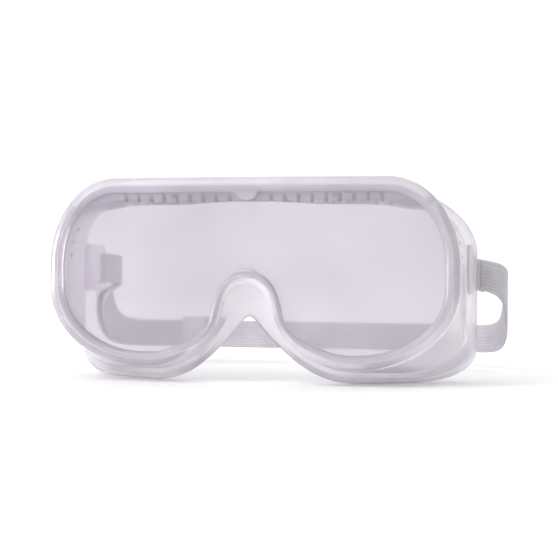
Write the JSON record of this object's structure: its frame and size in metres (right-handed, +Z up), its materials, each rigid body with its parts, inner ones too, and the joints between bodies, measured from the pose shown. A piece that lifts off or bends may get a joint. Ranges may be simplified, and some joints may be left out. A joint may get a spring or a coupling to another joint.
{
  "type": "safety goggles",
  "caption": "Clear safety goggles with a soft vented frame, a bent lens in its lip and an elastic headband that swings on the temple lugs.",
  "frame": {"origin": "middle of the footprint, on the surface the goggles stand on", "axes": "+X to the wearer's left, +Y from the lens towards the back of the head, +Z up"},
  "size_m": [0.187, 0.1346, 0.0772],
  "materials": {
    "clear_vinyl": "soft clear vinyl, satin to glossy, faint lavender grey",
    "clear_lens": "clear polished sheet",
    "elastic": "ribbed woven elastic, pale grey",
    "thread": "sewing thread, pale grey",
    "slider_plastic": "moulded plastic, semi-gloss, pale grey"
  },
  "bodies": {
    "frame": {"frame": "clear_vinyl", "lens": "clear_lens", "left_band_fold": "elastic", "right_band_fold": "elastic"},
    "headband": {"headband": "elastic", "left_sewn_end": "elastic", "left_bar_tack": "thread", "right_adjusting_tail": "elastic"},
    "slider": {"slider": "slider_plastic"}
  },
  "joints": [
    {"name": "headband_swing", "type": "hinge", "parent": "frame", "child": "headband", "pos_m": [0, 0.00494, 0.0437], "axis": [1, 0, 0], "range_deg": [-5, 100]},
    {"name": "slider_slide", "type": "slide", "parent": "headband", "child": "slider", "axis": [1, 0, 0], "range_m": [-0.001, 0.016]}
  ]
}
